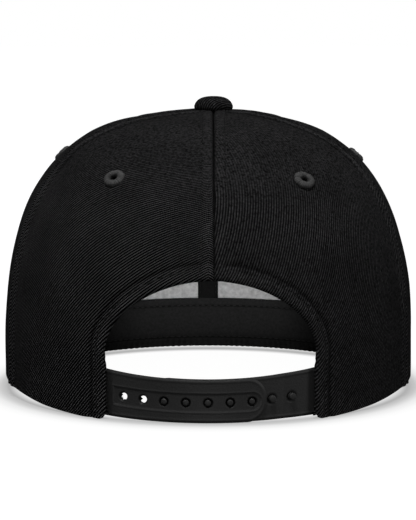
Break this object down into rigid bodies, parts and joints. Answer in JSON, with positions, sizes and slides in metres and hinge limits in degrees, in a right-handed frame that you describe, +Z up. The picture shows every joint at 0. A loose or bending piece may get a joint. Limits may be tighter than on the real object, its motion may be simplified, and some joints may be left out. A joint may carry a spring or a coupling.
{
  "type": "snapback cap",
  "caption": "Six-panel cap with a high rounded crown, sewn eyelets, covered top button, flat brim, inner sweatband and a snap strap under the arch at the back.",
  "frame": {"origin": "middle of the footprint, on the table it rests on", "axes": "+Z is up, the brim points to -Y and the snap strap is at the back, at +Y; +X is the wearer's left"},
  "size_m": [0.1838, 0.2694, 0.1279],
  "materials": {
    "twill": "black coarse cotton twill with fine diagonal ribs, matt",
    "thread": "black embroidery thread with a soft sheen",
    "buckram": "stiff light grey fused buckram, matt open weave",
    "seam_tape": "black cotton seam binding, matt",
    "sweatband_cloth": "black smooth cotton band with stitch lines along both edges",
    "strap_plastic": "black moulded soft plastic, satin"
  },
  "bodies": {
    "root": {"back_panel_left": "twill", "eyelet_back_left": "thread", "side_panel_left": "twill", "eyelet_side_left": "thread", "front_panel_left": "twill", "eyelet_front_left": "thread", "front_lining_left": "buckram", "back_panel_right": "twill", "eyelet_back_right": "thread", "side_panel_right": "twill", "eyelet_side_right": "thread", "front_panel_right": "twill", "eyelet_front_right": "thread", "front_lining_right": "buckram", "seam_tape_front_centre": "seam_tape", "seam_tape_back_centre": "seam_tape", "seam_tape_front_left": "seam_tape", "seam_tape_front_right": "seam_tape", "seam_tape_back_left": "seam_tape", "seam_tape_back_right": "seam_tape", "sweatband": "sweatband_cloth", "brim": "twill", "strap_with_holes": "strap_plastic", "strap_with_pegs": "strap_plastic", "top_button": "twill"}
  },
  "joints": []
}
